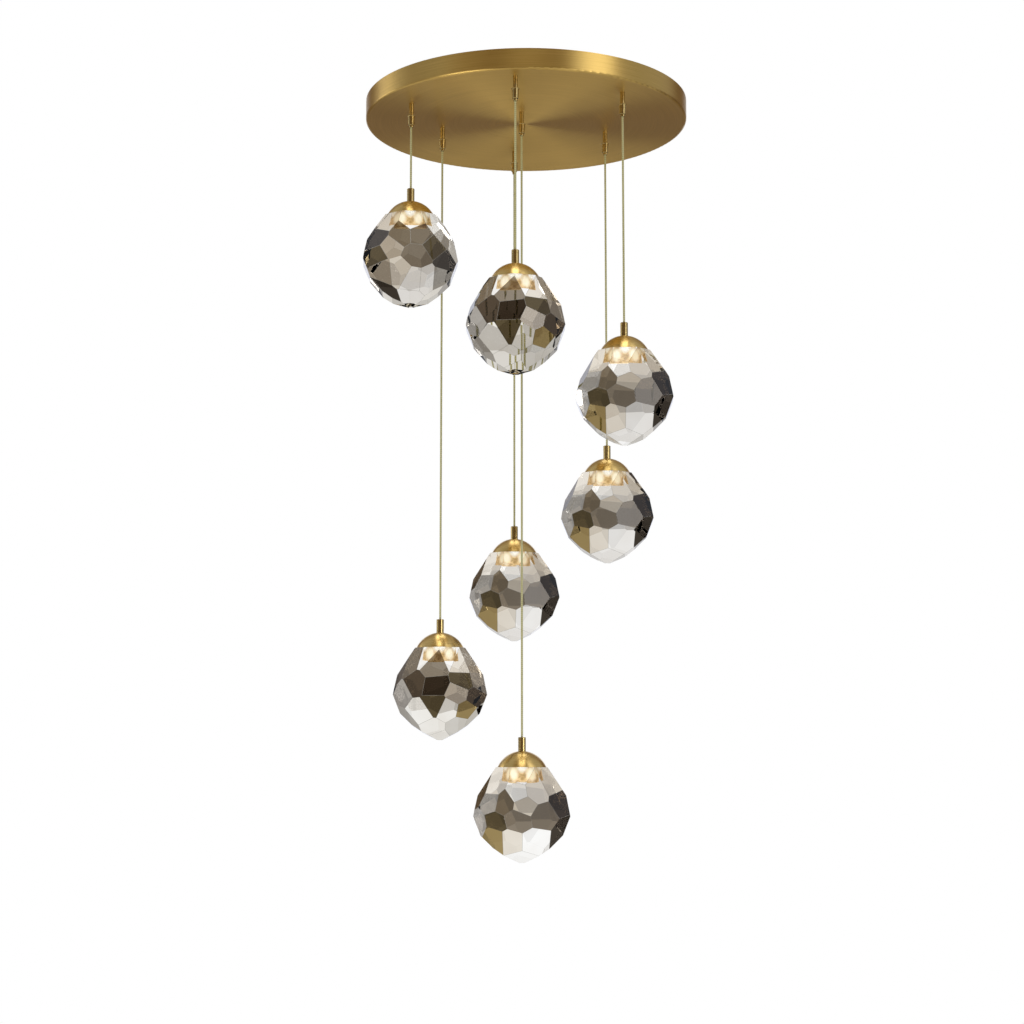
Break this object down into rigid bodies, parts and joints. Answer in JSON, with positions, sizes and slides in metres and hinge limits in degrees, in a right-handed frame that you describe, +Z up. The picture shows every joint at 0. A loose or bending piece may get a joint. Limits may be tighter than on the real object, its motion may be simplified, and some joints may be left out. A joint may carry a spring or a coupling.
{
  "type": "cluster pendant light",
  "caption": "Round brushed-brass ceiling canopy from which lit, faceted glass crystals under small brass domes hang on thin height-adjustable cables at staggered heights.",
  "frame": {"origin": "centre of the ceiling bracket's top face, in the plane of the ceiling", "axes": "+Z up into the ceiling, the drops hang along -Z, -Y is the front"},
  "size_m": [0.4, 0.4334, 0.9357],
  "materials": {
    "canopy_brass": "brushed, satin lacquer",
    "satin_brass": "satin, spun and turned",
    "bracket_steel": "zinc plated",
    "fastener_steel": "zinc plated",
    "driver_plastic": "fine matt",
    "block_plastic": "fine matt",
    "cable_sheath": "clear sheath over a gold core",
    "light_unit": "warm lit lens in a gold holder",
    "crystal_glass": "polished facets"
  },
  "bodies": {
    "root": {"canopy_pan": "canopy_brass", "ceiling_bracket": "bracket_steel", "set_screws": "fastener_steel", "stud_nuts": "fastener_steel", "led_driver": "driver_plastic", "terminal_block": "block_plastic", "block_screws": "fastener_steel", "driver_lead": "cable_sheath", "drop_leads": "cable_sheath", "grip_necks": "satin_brass", "grip_nuts": "fastener_steel"},
    "grip_1": {"grip_barrel_1": "satin_brass"},
    "release_1": {"grip_nose_1": "satin_brass"},
    "line_1": {"cable_1": "cable_sheath"},
    "drop_1": {"stem_1": "satin_brass", "dome_1": "satin_brass", "led_unit_1": "light_unit", "crystal_1": "crystal_glass"},
    "grip_2": {"grip_barrel_2": "satin_brass"},
    "release_2": {"grip_nose_2": "satin_brass"},
    "line_2": {"cable_2": "cable_sheath"},
    "drop_2": {"stem_2": "satin_brass", "dome_2": "satin_brass", "led_unit_2": "light_unit", "crystal_2": "crystal_glass"},
    "grip_3": {"grip_barrel_3": "satin_brass"},
    "release_3": {"grip_nose_3": "satin_brass"},
    "line_3": {"cable_3": "cable_sheath"},
    "drop_3": {"stem_3": "satin_brass", "dome_3": "satin_brass", "led_unit_3": "light_unit", "crystal_3": "crystal_glass"},
    "grip_4": {"grip_barrel_4": "satin_brass"},
    "release_4": {"grip_nose_4": "satin_brass"},
    "line_4": {"cable_4": "cable_sheath"},
    "drop_4": {"stem_4": "satin_brass", "dome_4": "satin_brass", "led_unit_4": "light_unit", "crystal_4": "crystal_glass"},
    "grip_5": {"grip_barrel_5": "satin_brass"},
    "release_5": {"grip_nose_5": "satin_brass"},
    "line_5": {"cable_5": "cable_sheath"},
    "drop_5": {"stem_5": "satin_brass", "dome_5": "satin_brass", "led_unit_5": "light_unit", "crystal_5": "crystal_glass"},
    "grip_6": {"grip_barrel_6": "satin_brass"},
    "release_6": {"grip_nose_6": "satin_brass"},
    "line_6": {"cable_6": "cable_sheath"},
    "drop_6": {"stem_6": "satin_brass", "dome_6": "satin_brass", "led_unit_6": "light_unit", "crystal_6": "crystal_glass"},
    "grip_7": {"grip_barrel_7": "satin_brass"},
    "release_7": {"grip_nose_7": "satin_brass"},
    "line_7": {"cable_7": "cable_sheath"},
    "drop_7": {"stem_7": "satin_brass", "dome_7": "satin_brass", "led_unit_7": "light_unit", "crystal_7": "crystal_glass"}
  },
  "joints": [
    {"name": "swivel_1", "type": "hinge", "parent": "root", "child": "grip_1", "pos_m": [-0.1399, -0.0775, -0.04], "axis": [0, 0, 1], "continuous": true},
    {"name": "press_1", "type": "slide", "parent": "grip_1", "child": "release_1", "axis": [0, 0, 1], "range_m": [0, 0.002], "stiffness_N_per_m": 600},
    {"name": "sway_1", "type": "hinge", "parent": "grip_1", "child": "line_1", "pos_m": [-0.1399, -0.0775, -0.0537], "axis": [0, 1, 0], "range_deg": [-8, 8]},
    {"name": "height_1", "type": "slide", "parent": "line_1", "child": "drop_1", "axis": [0, 0, 1], "range_m": [0, 0.06], "deforming": ["cable_1"]},
    {"name": "swivel_2", "type": "hinge", "parent": "root", "child": "grip_2", "pos_m": [-0.0138, -0.1754, -0.04], "axis": [0, 0, 1], "continuous": true},
    {"name": "press_2", "type": "slide", "parent": "grip_2", "child": "release_2", "axis": [0, 0, 1], "range_m": [0, 0.002], "stiffness_N_per_m": 600},
    {"name": "sway_2", "type": "hinge", "parent": "grip_2", "child": "line_2", "pos_m": [-0.0138, -0.1754, -0.0537], "axis": [0, 1, 0], "range_deg": [-6, 6]},
    {"name": "height_2", "type": "slide", "parent": "line_2", "child": "drop_2", "axis": [0, 0, 1], "range_m": [0, 0.15], "deforming": ["cable_2"]},
    {"name": "swivel_3", "type": "hinge", "parent": "root", "child": "grip_3", "pos_m": [0.1142, -0.1187, -0.04], "axis": [0, 0, 1], "continuous": true},
    {"name": "press_3", "type": "slide", "parent": "grip_3", "child": "release_3", "axis": [0, 0, 1], "range_m": [0, 0.002], "stiffness_N_per_m": 600},
    {"name": "sway_3", "type": "hinge", "parent": "grip_3", "child": "line_3", "pos_m": [0.1142, -0.1187, -0.0537], "axis": [0, 1, 0], "range_deg": [-5, 5]},
    {"name": "height_3", "type": "slide", "parent": "line_3", "child": "drop_3", "axis": [0, 0, 1], "range_m": [0, 0.22], "deforming": ["cable_3"]},
    {"name": "swivel_4", "type": "hinge", "parent": "root", "child": "grip_4", "pos_m": [0.1001, 0.0311, -0.04], "axis": [0, 0, 1], "continuous": true},
    {"name": "press_4", "type": "slide", "parent": "grip_4", "child": "release_4", "axis": [0, 0, 1], "range_m": [0, 0.002], "stiffness_N_per_m": 600},
    {"name": "sway_4", "type": "hinge", "parent": "grip_4", "child": "line_4", "pos_m": [0.1001, 0.0311, -0.0537], "axis": [0, 1, 0], "range_deg": [-4, 4]},
    {"name": "height_4", "type": "slide", "parent": "line_4", "child": "drop_4", "axis": [0, 0, 1], "range_m": [0, 0.33], "deforming": ["cable_4"]},
    {"name": "swivel_5", "type": "hinge", "parent": "root", "child": "grip_5", "pos_m": [-0.0147, 0.112, -0.04], "axis": [0, 0, 1], "continuous": true},
    {"name": "press_5", "type": "slide", "parent": "grip_5", "child": "release_5", "axis": [0, 0, 1], "range_m": [0, 0.002], "stiffness_N_per_m": 600},
    {"name": "sway_5", "type": "hinge", "parent": "grip_5", "child": "line_5", "pos_m": [-0.0147, 0.112, -0.0537], "axis": [0, 1, 0], "range_deg": [-3.5, 3.5]},
    {"name": "height_5", "type": "slide", "parent": "line_5", "child": "drop_5", "axis": [0, 0, 1], "range_m": [0, 0.4], "deforming": ["cable_5"]},
    {"name": "swivel_6", "type": "hinge", "parent": "root", "child": "grip_6", "pos_m": [-0.1052, 0.0147, -0.04], "axis": [0, 0, 1], "continuous": true},
    {"name": "press_6", "type": "slide", "parent": "grip_6", "child": "release_6", "axis": [0, 0, 1], "range_m": [0, 0.002], "stiffness_N_per_m": 600},
    {"name": "sway_6", "type": "hinge", "parent": "grip_6", "child": "line_6", "pos_m": [-0.1052, 0.0147, -0.0537], "axis": [0, 1, 0], "range_deg": [-3, 3]},
    {"name": "height_6", "type": "slide", "parent": "line_6", "child": "drop_6", "axis": [0, 0, 1], "range_m": [0, 0.38], "deforming": ["cable_6"]},
    {"name": "swivel_7", "type": "hinge", "parent": "root", "child": "grip_7", "pos_m": [-0.0059, -0.0466, -0.04], "axis": [0, 0, 1], "continuous": true},
    {"name": "press_7", "type": "slide", "parent": "grip_7", "child": "release_7", "axis": [0, 0, 1], "range_m": [0, 0.002], "stiffness_N_per_m": 600},
    {"name": "sway_7", "type": "hinge", "parent": "grip_7", "child": "line_7", "pos_m": [-0.0059, -0.0466, -0.0537], "axis": [0, 1, 0], "range_deg": [-3, 3]},
    {"name": "height_7", "type": "slide", "parent": "line_7", "child": "drop_7", "axis": [0, 0, 1], "range_m": [0, 0.08], "deforming": ["cable_7"]}
  ]
}
